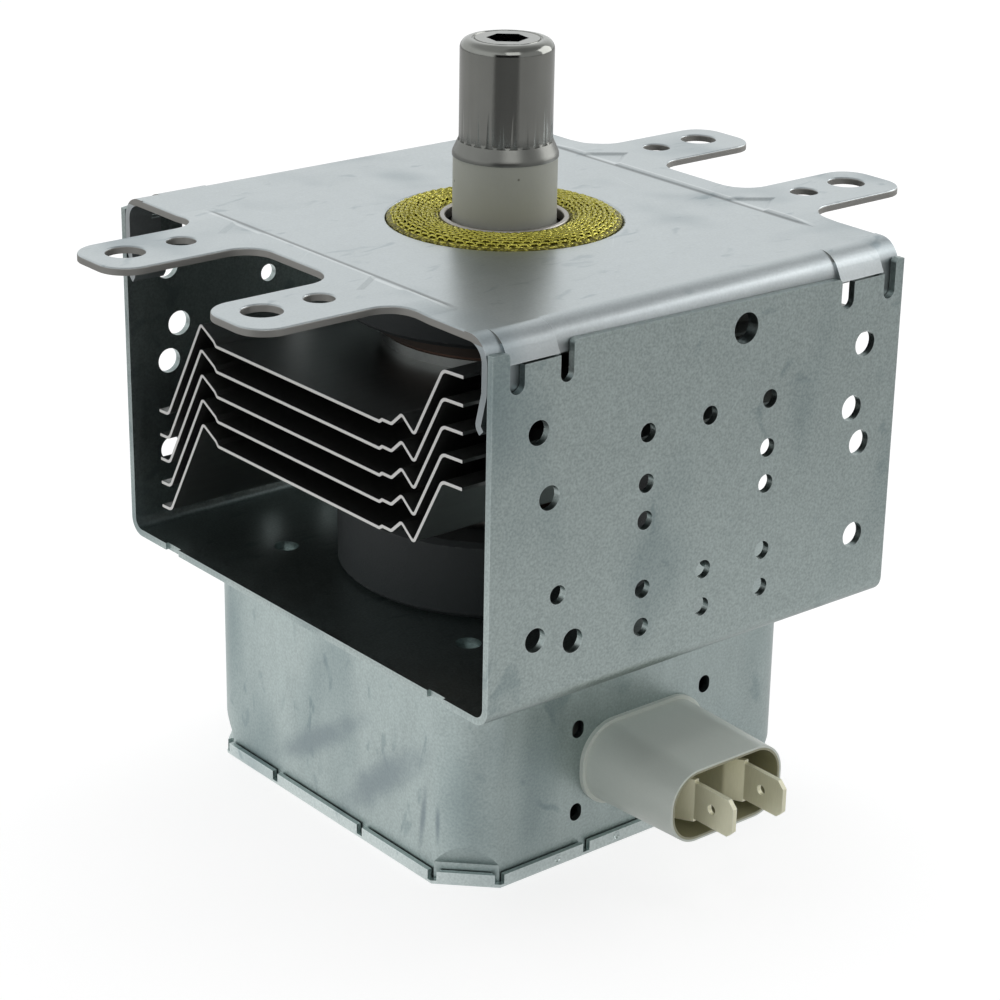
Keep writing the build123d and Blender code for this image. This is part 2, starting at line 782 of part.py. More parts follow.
export_step(rf_gasket.part, "parts/rf_gasket.step")

# Antenna lead: copper wire from the edge of one vane, through the pole piece, up to the cap
with BuildPart() as antenna_lead:
    with BuildLine(Plane.XZ) as antenna_path:
        FilletPolyline(
            (antenna_start_radius, vane_top),
            (antenna_start_radius, vane_top + antenna_rise),
            antenna_waist,
            (0, antenna_join_z),
            (0, antenna_top),
            radius=antenna_bend_radius,
        )
    with BuildSketch(Plane.XY.offset(vane_top)):
        with Locations((antenna_start_radius, 0)):
            Circle(antenna_wire_radius)
    sweep(path=antenna_path.line)
antenna_lead.part.label = "antenna_lead"
export_step(antenna_lead.part, "parts/antenna_lead.step")

# Exhaust tube: copper, brazed on the ceramic and pinched onto the antenna lead
with BuildPart() as exhaust_tube:
    pinched_radius = antenna_wire_radius + exhaust_wall / 2
    shoulder_bottom, shoulder_top = exhaust_shoulder
    with BuildSketch(Plane.XZ):
        with BuildLine():
            FilletPolyline(
                (exhaust_flange_radius, ceramic_top + exhaust_wall / 2),
                (exhaust_tube_radius, ceramic_top + exhaust_wall / 2),
                (exhaust_tube_radius, shoulder_bottom),
                (pinched_radius, shoulder_top),
                (pinched_radius, antenna_top),
                radius=exhaust_bend_radius,
            )
        trace(line_width=exhaust_wall)
    revolve(axis=Axis.Z)
exhaust_tube.part.label = "exhaust_tube"
export_step(exhaust_tube.part, "parts/exhaust_tube.step")

# Antenna cap: drawn stainless cup, crimped over the ceramic, with a hexagon hole in its top
with BuildPart() as antenna_cap:
    wall_radius = cap_radius - cap_wall / 2
    with BuildSketch(Plane.XZ):
        with BuildLine():
            FilletPolyline(
                (cap_lip_radius - cap_wall / 2, ceramic_top),
                (cap_lip_radius - cap_wall / 2, ceramic_top + cap_lip_height),
                (wall_radius, cap_lip_top),
                (wall_radius, cap_top - cap_wall / 2),
                (0, cap_top - cap_wall / 2),
                radius=cap_edge_round - cap_wall / 2,
            )
        trace(line_width=cap_wall)
        split(bisect_by=Plane.YZ, keep=Keep.TOP)
    revolve(axis=Axis.Z)
    with BuildSketch(Plane.XZ):
        with Locations((cap_groove_radius, cap_top)):
            Circle(cap_groove_size)
    revolve(axis=Axis.Z, mode=Mode.SUBTRACT)
    with BuildSketch(Plane.XY.offset(cap_top)):
        RegularPolygon(cap_hex_radius, 6, rotation=cap_hex_angle)
    extrude(amount=-2 * cap_wall, mode=Mode.SUBTRACT)
    with PolarLocations(cap_radius + flute_tool_radius - flute_depth, flute_count):
        with Locations(Location((0, 0, flute_bottom), (0, flute_tilt, 0))):
            Cylinder(
                flute_tool_radius,
                flute_length,
                align=(Align.CENTER, Align.CENTER, Align.MIN),
                mode=Mode.SUBTRACT,
            )
antenna_cap.part.label = "antenna_cap"
export_step(antenna_cap.part, "parts/antenna_cap.step")

# Cooling fins: thin aluminium, both ends folded into wings that steer the air
for number in range(fin_count):
    fin_z = top_fin_z - number * fin_pitch
    with BuildPart() as fin:
        with BuildSketch(Plane.YZ.offset(fin_start_x)):
            with BuildLine():
                FilletPolyline(*[(y, fin_z + z) for y, z in fin_profile], radius=fin_bend_radii)
            trace(line_width=fin_sheet)
        extrude(amount=fin_end_x - fin_start_x)
        with BuildSketch(Plane.XY.offset(fin_z)):
            Circle(anode_radius + fin_sheet)
        extrude(amount=fin_collar_height)
        with BuildSketch(Plane.XY.offset(fin_z - fin_pitch)):
            Circle(anode_radius)
        extrude(amount=2 * fin_pitch, mode=Mode.SUBTRACT)
    fin.part.label = f"fin_{number + 1}"
    export_step(fin.part, f"parts/fin_{number + 1}.step")

# Filter box: drawn steel can under the lower yoke, open at the bottom
with BuildPart() as filter_box:
    add(can_block(0))
    add(can_block(box_wall), mode=Mode.SUBTRACT)
    with BuildSketch(Plane.XY.offset(box_top)):
        Circle(tube_radius + tube_clearance)
    extrude(amount=-2 * box_wall, mode=Mode.SUBTRACT)
    with BuildSketch(Plane.XZ.offset(box_front)):
        with Locations((plug_x, plug_z)):
            neck_width = plug_neck[0] + 2 * neck_gap
            neck_height = plug_neck[1] + 2 * neck_gap
            RectangleRounded(neck_width, neck_height, plug_corner_share * neck_height)
            with GridLocations(fixing_pitch_x, fixing_pitch_z, 2, 2):
                SlotOverall(fixing_slot[1], fixing_slot[0], rotation=90)
    extrude(amount=-2 * box_wall, mode=Mode.SUBTRACT)
filter_box.part.label = "filter_box"
export_step(filter_box.part, "parts/filter_box.step")

# Filter cover: shallow tray with cut and folded edges, pressed over the box
with BuildPart() as filter_cover:
    with BuildSketch(Plane.XY.offset(cover_bottom)) as tray:
        Rectangle(2 * cover_half_x, 2 * cover_half_y)
        chamfer(tray.vertices(), cover_chamfer)
    extrude(amount=cover_lip)
    fillet(filter_cover.faces().sort_by(Axis.Z)[0].edges(), cover_bend_radius)
    with BuildSketch(Plane.XY.offset(box_bottom)):
        add(tray.sketch_local)
        offset(amount=-cover_wall, kind=Kind.INTERSECTION, mode=Mode.REPLACE)
    extrude(amount=cover_lip, mode=Mode.SUBTRACT)
    with BuildSketch(Plane.XY.offset(cover_bottom + cover_lip)):
        for side in (1, -1):
            with Locations(*[(-side * cover_half_x, side * y) for y in cover_gaps_x_side]):
                Rectangle(4 * cover_wall, cover_gap_width)
            with Locations(*[(side * x, -side * cover_half_y) for x in cover_gaps_y_side]):
                Rectangle(cover_gap_width, 4 * cover_wall)
        for side_x in (1, -1):
            for side_y in (1, -1):
                with Locations((side_x * cover_half_x, side_y * (cover_half_y - cover_chamfer))):
                    Rectangle(4 * cover_wall, cover_gap_width)
                with Locations((side_x * (cover_half_x - cover_chamfer), side_y * cover_half_y)):
                    Rectangle(cover_gap_width, 4 * cover_wall)
    extrude(amount=-cover_gap_depth, mode=Mode.SUBTRACT)
    # Punch marks that stake the folded edge to the box
    punch_out = punch_radius - punch_depth
    punch_z = cover_bottom + punch_height
    front_marks = [(x, -cover_half_y - punch_out, punch_z) for x in punch_xs]
    back_marks = [(-x, cover_half_y + punch_out, punch_z) for x in punch_xs]
    with Locations(*front_marks, *back_marks):
        Sphere(punch_radius, mode=Mode.SUBTRACT)
filter_cover.part.label = "filter_cover"
export_step(filter_cover.part, "parts/filter_cover.step")

# Plug housing: moulded shroud with a rim on the box face and a neck through its wall
box_inner_front = box_front - box_wall
clamp_back = box_inner_front - clamp_plate_thickness
tab_root_y = plug_floor_y + tab_root_depth
tab_xs = [tab_middle_x - tab_pitch / 2, tab_middle_x + tab_pitch / 2]
rod_xs = [x - tab_jog for x in tab_xs]
rim_y = -box_front - plug_rim_thickness
with BuildPart() as plug_housing:
    for y, (width, height) in ((rim_y, plug_base), (plug_mouth_y, plug_mouth)):
        with BuildSketch(Plane.XZ.offset(-y)):
            with Locations((plug_x, plug_z)):
                RectangleRounded(width, height, plug_corner_share * height)
    loft()
    with BuildSketch(Plane.XZ.offset(box_front)):
        with Locations((plug_x, plug_z)):
            RectangleRounded(*plug_rim, plug_corner_share * plug_rim[1])
    extrude(amount=plug_rim_thickness)
    with BuildSketch(Plane.XZ.offset(clamp_back)):
        with Locations((plug_x, plug_z)):
            RectangleRounded(*plug_neck, plug_corner_share * plug_neck[1])
    extrude(amount=box_front - clamp_back)
    with BuildSketch(Plane.XZ.offset(-plug_mouth_y)):
        with Locations((plug_x, plug_z)):
            cavity_height = plug_mouth[1] - 2 * plug_wall
            RectangleRounded(plug_mouth[0] - 2 * plug_wall, cavity_height, plug_corner_share * cavity_height)
    extrude(amount=plug_mouth_y - plug_floor_y, mode=Mode.SUBTRACT)
    with BuildSketch(Plane.XZ.offset(-plug_floor_y)):
        with Locations(*[(x, plug_z) for x in rod_xs]):
            Rectangle(tab_thickness, tab_root_width)
    extrude(amount=-tab_root_depth, mode=Mode.SUBTRACT)
    with BuildSketch(Plane.XZ.offset(-tab_root_y)):
        with Locations(*[(x, plug_z) for x in rod_xs]):
            Circle(rod_radius)
    extrude(amount=tab_root_y + clamp_back, mode=Mode.SUBTRACT)
plug_housing.part.label = "plug_housing"
export_step(plug_housing.part, "parts/plug_housing.step")

# Clamp plate: steel plate behind the box wall that grips the neck
with BuildPart() as clamp_sheet:
    with BuildSketch(Plane.XZ.offset(clamp_back)):
        with Locations((plug_x, plug_z)):
            Rectangle(*clamp_plate)
            RectangleRounded(neck_width, neck_height, plug_corner_share * neck_height, mode=Mode.SUBTRACT)
            with GridLocations(fixing_pitch_x, fixing_pitch_z, 2, 2):
                SlotOverall(
                    fixing_slot[1] + clamp_hole_margin,
                    fixing_slot[0] + clamp_hole_margin,
                    rotation=90,
                    mode=Mode.SUBTRACT,
                )
    extrude(amount=clamp_plate_thickness)
clamp_sheet.part.label = "clamp_plate"
export_step(clamp_sheet.part, "parts/clamp_plate.step")

# Capacitor case: moulded cup behind the clamp plate, around the ceramic block
case_back = clamp_back - case_depth
block_size = (case_size[0] - 2 * case_wall, case_size[1] - 2 * case_wall)
with BuildPart() as capacitor_case:
    with BuildSketch(Plane.XZ.offset(case_back)):
        with Locations((plug_x, plug_z)):
            RectangleRounded(*case_size, case_corner_radius)
    extrude(amount=case_depth)
    with BuildSketch(Plane.XZ.offset(case_back + case_wall)):
        with Locations((plug_x, plug_z)):
            Rectangle(*block_size)
    extrude(amount=case_depth, mode=Mode.SUBTRACT)
    with BuildSketch(Plane.XZ.offset(case_back)):
        with Locations(*[(x, plug_z) for x in rod_xs]):
            Circle(rod_radius)
    extrude(amount=case_depth, mode=Mode.SUBTRACT)
capacitor_case.part.label = "capacitor_case"
export_step(capacitor_case.part, "parts/capacitor_case.step")

# Capacitor ceramic: the dielectric block that both rods pass through
with BuildPart() as capacitor_ceramic:
    with BuildSketch(Plane.XZ.offset(case_back + case_wall)):
        with Locations((plug_x, plug_z)):
            Rectangle(*block_size)
        with Locations(*[(x, plug_z) for x in rod_xs]):
            Circle(rod_radius, mode=Mode.SUBTRACT)
    extrude(amount=case_depth - case_wall)
capacitor_ceramic.part.label = "capacitor_ceramic"
export_step(capacitor_ceramic.part, "parts/capacitor_ceramic.step")

# Push-on blades: tinned brass, set over by a jog, with a detent hole and a chamfered tip
for number, (tip_x, root_x) in enumerate(zip(tab_xs, rod_xs)):
    with BuildPart() as blade:
        with BuildSketch(Plane.XY.offset(plug_z - tab_root_width / 2)):
            with BuildLine():
                FilletPolyline(
                    (tip_x, tab_tip_y),
                    (tip_x, tab_shoulder_y),
                    (root_x, tab_jog_end_y),
                    (root_x, tab_root_y),
                    radius=tab_bend_radius,
                )
            trace(line_width=tab_thickness)
        extrude(amount=tab_root_width)
        with BuildSketch(Plane.YZ.offset(tip_x)) as side_view:
            with Locations(((tab_tip_y + tab_shoulder_y) / 2, plug_z)):
                Rectangle(tab_shoulder_y - tab_tip_y, tab_width)
            chamfer(side_view.vertices().group_by(Axis.X)[0], tab_tip_chamfer)
            with Locations(((tab_shoulder_y + tab_root_y) / 2, plug_z)):
                Rectangle(tab_root_y - tab_shoulder_y, tab_root_width)
            with Locations((tab_hole_y, plug_z)):
                Circle(tab_hole_diameter / 2, mode=Mode.SUBTRACT)
        extrude(amount=2 * tab_jog, both=True, mode=Mode.INTERSECT)
    blade.part.label = f"terminal_blade_{number + 1}"
    export_step(blade.part, f"parts/terminal_blade_{number + 1}.step")

    # Rod from the blade through the capacitor to the choke
    with BuildPart() as rod:
        with BuildSketch(Plane.XZ.offset(-tab_root_y)):
            with Locations((root_x, plug_z)):
                Circle(rod_radius)
        extrude(amount=tab_root_y - rod_end_y)
    rod.part.label = f"through_rod_{number + 1}"
    export_step(rod.part, f"parts/through_rod_{number + 1}.step")

# Chokes: a ferrite rod in each coil, and the coil's wire ends run to the rod and the strip
for number, side in enumerate((-1, 1)):
    coil_x = side * choke_x
    with BuildPart() as core:
        core_front_y = choke_front_y + (choke_length - core_length) / 2
        with BuildSketch(Plane.XZ.offset(-core_front_y)):
            with Locations((coil_x, plug_z)):
                Circle(core_radius)
        extrude(amount=-core_length)
    core.part.label = f"choke_core_{number + 1}"
    export_step(core.part, f"parts/choke_core_{number + 1}.step")

    over_rod = plug_z + rod_radius + choke_wire_radius + joint_gap
    under_strip = stem_bottom - stem_strip_thickness - choke_wire_radius - joint_gap
    rod_joint = Vector(rod_xs[number], rod_end_y - rod_radius, over_rod)
    strip_joint = Vector(side * (stem_strip_reach - stem_strip_margin), 0, under_strip)
    with BuildPart() as coil:
        with BuildLine() as wire_run:
            turns = Helix(
                pitch=choke_pitch,
                height=choke_length,
                radius=choke_turn_radius,
                center=(coil_x, choke_front_y, plug_z),
                direction=(0, 1, 0),
            )
            Spline(rod_joint, turns @ 0, tangents=[(turns @ 0 - rod_joint).normalized(), turns % 0])
            Spline(turns @ 1, strip_joint, tangents=[turns % 1, (strip_joint - turns @ 1).normalized()])
        with BuildSketch(Plane(origin=rod_joint, z_dir=turns @ 0 - rod_joint)):
            Circle(choke_wire_radius)
        sweep(path=wire_run.wires()[0])
    coil.part.label = f"choke_coil_{number + 1}"
    export_step(coil.part, f"parts/choke_coil_{number + 1}.step")
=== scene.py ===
from math import cos, pi, radians, sin

import bpy
from mathutils import Matrix, Vector


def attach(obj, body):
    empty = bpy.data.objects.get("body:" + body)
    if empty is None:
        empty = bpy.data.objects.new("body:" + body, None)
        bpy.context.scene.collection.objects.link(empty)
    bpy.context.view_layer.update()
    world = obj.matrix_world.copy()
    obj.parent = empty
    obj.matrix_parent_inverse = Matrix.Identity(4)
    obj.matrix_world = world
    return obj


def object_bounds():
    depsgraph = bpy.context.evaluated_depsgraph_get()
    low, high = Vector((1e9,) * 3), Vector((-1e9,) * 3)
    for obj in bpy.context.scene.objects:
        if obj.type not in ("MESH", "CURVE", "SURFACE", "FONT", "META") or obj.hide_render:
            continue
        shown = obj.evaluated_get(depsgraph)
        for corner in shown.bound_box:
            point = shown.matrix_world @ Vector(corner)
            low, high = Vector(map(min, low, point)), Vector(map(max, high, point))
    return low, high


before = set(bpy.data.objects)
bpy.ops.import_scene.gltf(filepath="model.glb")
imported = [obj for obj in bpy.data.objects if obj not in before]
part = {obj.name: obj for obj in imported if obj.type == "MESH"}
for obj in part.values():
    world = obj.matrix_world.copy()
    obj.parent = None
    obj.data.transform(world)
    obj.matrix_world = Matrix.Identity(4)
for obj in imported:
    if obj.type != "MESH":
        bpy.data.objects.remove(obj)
cad_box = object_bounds()

# The part stands on its filter cover, on a white studio sweep. The camera stands
# where the photograph's did, to the left of the plug and a little above the plate.
eye = (-0.27093, -0.32593, 0.11928)
azimuth, elevation, roll = -39.7514, 21.7203, 1.0279
camera_data = bpy.data.cameras.new("camera")
camera_data.lens = 97.593
camera_data.sensor_width = 36
camera_data.clip_start = 0.01
camera_data.clip_end = 50
camera = bpy.data.objects.new("camera", camera_data)
bpy.context.scene.collection.objects.link(camera)
camera.matrix_world = (
    Matrix.Translation(eye)
    @ Matrix.Rotation(radians(azimuth), 4, "Z")
    @ Matrix.Rotation(radians(90 - elevation), 4, "X")
    @ Matrix.Rotation(radians(roll), 4, "Z")
)
bpy.context.scene.camera = camera
bpy.context.scene.view_settings.view_transform = "Standard"

# Studio: a white tent on a white floor, which keeps a soft shadow. The tent's mouth is
# dark, where the camera looks in, and metal that faces it shows that dark.


class Wire:
    """A socket in a node tree. Python's operators on it add Math nodes."""

    def __init__(self, tree, socket=None):
        self.tree = tree
        self.socket = socket

    def add(self, kind, settings=None, sockets=None, output=0):
        """Adds any other node: its own settings first, then the values or links of its sockets."""
        node = self.tree.nodes.new(kind if kind.startswith("Geometry") else "ShaderNode" + kind)
        for name, value in (settings or {}).items():
            setattr(node, name, value)
        for name, value in (sockets or {}).items():
            if isinstance(value, Wire):
                self.tree.links.new(value.socket, node.inputs[name])
            else:
                node.inputs[name].default_value = value
        return Wire(self.tree, node.outputs[output] if node.outputs else None)

    def other(self, output):
        """Another output of the node that this one leaves."""
        return Wire(self.tree, self.socket.node.outputs[output])

    def maths(self, operation, other=0.0, flip=False, clamp=False):
        """A Math node on this and another wire or number; flip puts the other first."""
        first, second = (other, self) if flip else (self, other)
        return self.add("Math", {"operation": operation, "use_clamp": clamp}, {0: first, 1: second})

    def __add__(self, other):
        return self.maths("ADD", other)

    def __sub__(self, other):
        return self.maths("SUBTRACT", other)

    def __rsub__(self, other):
        return self.maths("SUBTRACT", other, flip=True)

    def __mul__(self, other):
        return self.maths("MULTIPLY", other)

    def __truediv__(self, other):
        return self.maths("DIVIDE", other)

    __radd__, __rmul__ = __add__, __mul__

    def size(self):
        """This without its sign."""
        return self.maths("ABSOLUTE")

    def held(self):
        """This, kept between 0 and 1."""
        return self.maths("ADD", clamp=True)

    def ease(self, low, high):
        """0 below low and 1 above high, with a soft step between."""
        ends = {"Value": self, "From Min": low, "From Max": high}
        return self.add("MapRange", {"interpolation_type": "SMOOTHSTEP"}, ends)

    def tint(self, low, high):
        """The colour low where this is 0, and high where it is 1."""
        low, high = ((*colour, 1) if isinstance(colour, tuple) else colour for colour in (low, high))
        return self.add("Mix", {"data_type": "RGBA"}, {0: self, 6: low, 7: high}, output=2)

    def vector(self, operation, other=(0, 0, 0), output="Vector"):
        """A Vector Math node on this and another vector."""
        return self.add("VectorMath", {"operation": operation}, {0: self, 1: other}, output)

    def dot(self, other):
        """How far this vector points along the other."""
        return self.vector("DOT_PRODUCT", other, "Value")

    def split(self):
        """The x, y and z of a vector, or the red, green and blue of a colour."""
        outputs = self.add("SeparateXYZ", sockets={0: self}).socket.node.outputs
        return [Wire(self.tree, output) for output in outputs]


# Ways out from the part, the cosines at which each side of the tent starts and is full, how
# bright or dark each is from 0 to 1, and the share of that light that reaches the part.
mouth_way, front_way, up = (-0.639, -0.769, 0), (0.45, -0.89, 0), (0, 0, 1)
mouth_side, mouth_top, tent_front, tent_roof = (0.83, 0.9), (0.2, 0.4), (-0.2, 0.8), (0.42, 0.8)
tent_white, mouth_dark, front_dark, front_lift, roof_dark = 0.98, 0.97, 0.4, 0.62, 0.4
tent_light = 0.36


def tent_level(away, past_near=1.0, far_off=0.0):
    """How bright the tent is, going away from the part: dark in its mouth, and dimmer in front
    and overhead. On the floor the mouth is dark past_near, and the front is lighter far_off."""
    level_way = away.vector("MULTIPLY", (1, 1, 0)).vector("NORMALIZE")
    upward = away.dot(up)
    in_mouth = level_way.dot(mouth_way).ease(*mouth_side) * (1.0 - upward.ease(*mouth_top))
    in_front = level_way.dot(front_way).ease(*tent_front) * (1.0 - front_lift * far_off)
    overhead = upward.ease(*tent_roof)
    walls = (tent_white - front_dark * in_front) * (1.0 - mouth_dark * in_mouth * past_near)
    return walls * (1.0 - roof_dark * overhead)


def rays(wire):
    """1 for what the camera sees, for what metal or glass shows, and for what only lights."""
    seen = wire.add("LightPath", output="Is Camera Ray")
    mirrored = seen.other("Is Glossy Ray") + seen.other("Is Transmission Ray")
    return seen, mirrored, (1.0 - seen - mirrored).held()


world = bpy.data.worlds.new("studio")
bpy.context.scene.world = world
world.use_nodes = True
world.node_tree.nodes.clear()
room = Wire(world.node_tree)
seen, mirrored, lighting = rays(room)
tent = tent_level(room.add("TexCoord", output="Generated"))
level = seen + mirrored * tent + lighting * tent * tent_light
surround = room.add("Background", sockets={"Color": (0.98, 1.0, 1.0, 1), "Strength": level})
room.add("OutputWorld", sockets={"Surface": surround})

# Floor: white paper that glows, so that it shows white. The camera sees a darker paper
# under the glow, which keeps the part's shadow, and a pale one throws light on the part.
# What the metal shows of it changes between two distances from the part, in metres.
shown_glow, mirrored_glow, lighting_glow, glow_loss = 0.8, 0.85, 0.15, 0.6
seen_paper, lighting_paper = 0.3, 0.8
mouth_starts, front_lifts, glow_fades = (0.2, 0.26), (0.30, 0.36), (0.14, 0.34)
reach, floor_z = 4.0, cad_box[0].z - 0.0001
floor_mesh = bpy.data.meshes.new("floor")
floor_mesh.from_pydata(
    [(-reach, -reach, floor_z), (reach, -reach, floor_z), (reach, reach, floor_z), (-reach, reach, floor_z)],
    [],
    [(0, 1, 2, 3)],
)
floor = bpy.data.objects.new("floor", floor_mesh)
bpy.context.scene.collection.objects.link(floor)
paper = bpy.data.materials.new("white_sweep")
paper.use_nodes = True
paper.node_tree.nodes.clear()
sweep = Wire(paper.node_tree)
seen, mirrored, lighting = rays(sweep)
floor_place = sweep.add("TexCoord", output="Object")
reached = floor_place.vector("LENGTH", output="Value")
tent = tent_level(floor_place, reached.ease(*mouth_starts), reached.ease(*front_lifts))
dimmed = mirrored_glow * (1.0 - glow_loss * reached.ease(*glow_fades))
shown = seen * shown_glow + mirrored * tent * dimmed + lighting * lighting_glow
glow = sweep.add("Emission", sockets={"Color": (1, 1, 1, 1), "Strength": shown})
shade = (seen + mirrored).held().tint((lighting_paper,) * 3, (seen_paper,) * 3)
shadow = sweep.add("BsdfDiffuse", sockets={"Color": shade})
lit = sweep.add("AddShader", sockets={0: glow, 1: shadow})
sweep.add("OutputMaterial", sockets={"Surface": lit})
floor_mesh.materials.append(paper)

# Soft boxes: a large one overhead, one behind at the left, one at the right, and a weak one
# by the camera. The metal does not show the first two, which would burn out the top plate.
for name, spot, aim, width, power, in_metal in (
    ("top_box", (0.2, 0.3, 0.9), (0, 0, -0.03), 0.9, 6.0, False),
    ("left_box", (-0.55, 0.8, 0.25), (0, 0, -0.04), 0.7, 2.2, False),
    ("right_box", (0.85, -0.25, 0.3), (0, 0, -0.04), 0.7, 3.2, True),
    ("camera_box", (-0.35, -0.8, 0.6), (0, 0, -0.04), 0.6, 1.4, True),
):
    lamp_data = bpy.data.lights.new(name, "AREA")
    lamp_data.shape = "SQUARE"
    lamp_data.size = width
    lamp_data.energy = power
    lamp = bpy.data.objects.new(name, lamp_data)
    bpy.context.scene.collection.objects.link(lamp)
    away = Vector(spot) - Vector(aim)
    lamp.visible_glossy = in_metal
    lamp.matrix_world = Matrix.Translation(spot) @ away.to_track_quat("Z", "Y").to_matrix().to_4x4()

# Folded yokes, filter can, cover and clamp plate: cold-rolled steel with a thin zinc coat,
# whose crystals show as a faint spangle. Handling left scuffs, and the cut edges are bare.
# Sharp edges are lighter, partly as wear and partly as a painted highlight.
flat_face, wall_face = (0, 1), (0, 2)
strip_crease_x, strip_crest_x, strip_middle_y, strip_ends = 0.0363, 0.0373, -0.001, (0.029, 0.033)
bend_darkening = (-0.0042, -0.0006)
# Colours of the cut faces, of the painted shade in the strips' creases and of the painted highlight on their
# crests.
sheared_steel, crease_painted_shade, crest_painted_highlight = (0.30, 0.295, 0.28), (0.06, 0.065, 0.07), (0.9, 0.93, 0.94)
bend_dark_brown, patch_and_crease_shade_grey = (0.14, 0.135, 0.125), (0.17, 0.215, 0.24)


def start(name):
    """A new material, and where a point of the piece lies, in metres."""
    made = bpy.data.materials.new(name)
    made.use_nodes = True
    made.node_tree.nodes.clear()
    return made, Wire(made.node_tree).add("TexCoord", output="Object")


def close(place, sockets):
    """Ends a material in one Principled shader."""
    shader = place.add("BsdfPrincipled", sockets=sockets)
    place.add("OutputMaterial", sockets={"Surface": shader})


def toned(colour, share):
    """The colour, darker or brighter by a share, and no brighter than white."""
    return tuple(min(1.0, share * level) for level in colour)


def noise(place, scale, detail=2.0, stretch=(1, 1, 1), turn=(0, 0, 0), distortion=0.0):
    """Noise from 0 to 1 over the piece; stretch above 1 packs it along that axis."""
    laid = place.add("Mapping", sockets={"Vector": place, "Scale": stretch, "Rotation": turn})
    values = {"Vector": laid, "Scale": scale, "Detail": detail, "Distortion": distortion}
    return place.add("TexNoise", sockets=values)


def relief(height, strength, depth):
    """A bump that reads a height from 0 to 1 as that depth in metres."""
    return height.add("Bump", sockets={"Strength": strength, "Distance": depth, "Height": height})


def facing(place):
    """The way that the surface faces."""
    return place.add("NewGeometry", output="Normal")


def sharp_edges(place, radius):
    """1 on the sharp edges of a piece, and 0 on its flats."""
    rounded = place.add("Bevel", {"samples": 4}, {"Radius": radius})
    return (1.0 - rounded.dot(facing(place))).ease(0.02, 0.25)


def scratches(place, axes, cells, share):
    """Straight hairlines at chance angles on faces that lie along the two axes. There are cells
    of them to the metre, and a share of the cells has one."""
    spot = place.split()
    flat = place.add("CombineXYZ", sockets={0: spot[axes[0]] * cells, 1: spot[axes[1]] * cells})
    middle = place.add("TexVoronoi", sockets={"Vector": flat, "Scale": 1.0}, output="Position")
    turn, chance, _ = middle.other("Color").split()
    off_x, off_y, _ = flat.vector("SUBTRACT", middle).split()
    cosine, sine = (turn * pi).maths("COSINE"), (turn * pi).maths("SINE")
    along = (off_x * cosine + off_y * sine).size()
    across = (off_y * cosine - off_x * sine).size()
    hairline = (1.0 - across.ease(0.002, 0.008)) * (1.0 - along.ease(0.05, 0.3))
    return hairline * chance.maths("LESS_THAN", share)


def patches_and_painted_crease_shade(place):
    """Soft dark patches, and the painted shade of two creases, at the left of the filter box, as 0 to 1.
    A row has the middle, the half length and half width in metres, the tilt in degrees and the strength."""
    x, y, z = place.split()
    wobble = noise(place, 160, 3.0) - 0.5
    found = 0.0
    for middle_y, middle_z, half_length, half_width, tilt, strength in (
        (0.0036, -0.0850, 0.0190, 0.0028, 147, 0.75),
        (-0.0146, -0.0850, 0.0185, 0.0040, 138, 0.8),
        (-0.0254, -0.0869, 0.0062, 0.0009, 97, 0.9),
        (-0.0290, -0.0868, 0.0046, 0.0007, 90, 0.9),
    ):
        off_y, off_z = y - middle_y, z - middle_z
        cosine, sine = cos(radians(tilt)), sin(radians(tilt))
        along = (off_y * cosine + off_z * sine) / half_length
        across = (off_z * cosine - off_y * sine) / half_width
        apart = (along * along + across * across).maths("SQRT") + wobble
        found = found + (1.0 - apart.ease(0.1, 1.1)) * strength
    return found * (1.0 - x.ease(-0.025, -0.02))


def inner_shade(place, colour, dark, half_width, depth):
    """The colour with painted shade: a little darker between walls half_width off the middle, down to depth.
    """
    _, y, z = place.split()
    fade = 0.0004
    between = 1.0 - y.size().ease(half_width, half_width + fade)
    above = 1.0 - z.size().ease(depth, depth + fade)
    return (between * above * 0.1).tint(colour, dark)


def plate_marks(place, cloud, colour, rough, cut_above):
    """The top plate's own marks: dull bare steel on the upright faces above cut_above, painted shade
    as a dark line along the crease at the foot of each pressed strip beside a painted highlight as a
    pale line on its crest, and a darker, rougher band low on the bends."""
    x, y, z = place.split()
    upright = 1.0 - facing(place).split()[2].size().ease(0.3, 0.75)
    cut = upright * z.ease(cut_above, cut_above + 0.0001)
    colour = cut.tint(colour, sheared_steel)
    on_strip = 1.0 - (y - strip_middle_y).size().ease(*strip_ends)
    # Painted shade along each strip's crease, and a painted highlight along its crest.
    for line_x, strength, tone in ((strip_crease_x, 0.6, crease_painted_shade), (strip_crest_x, 0.4, crest_painted_highlight)):
        line = 1.0 - (x.size() - line_x).size().ease(0.0001, 0.0006)
        colour = (line * on_strip * strength).tint(colour, tone)
    # Darker brown and rougher low on the bends.
    low = 1.0 - z.ease(*bend_darkening)
    colour = (low * cloud * 0.7).tint(colour, bend_dark_brown)
    return colour, rough + 0.25 * cut + 0.1 * low


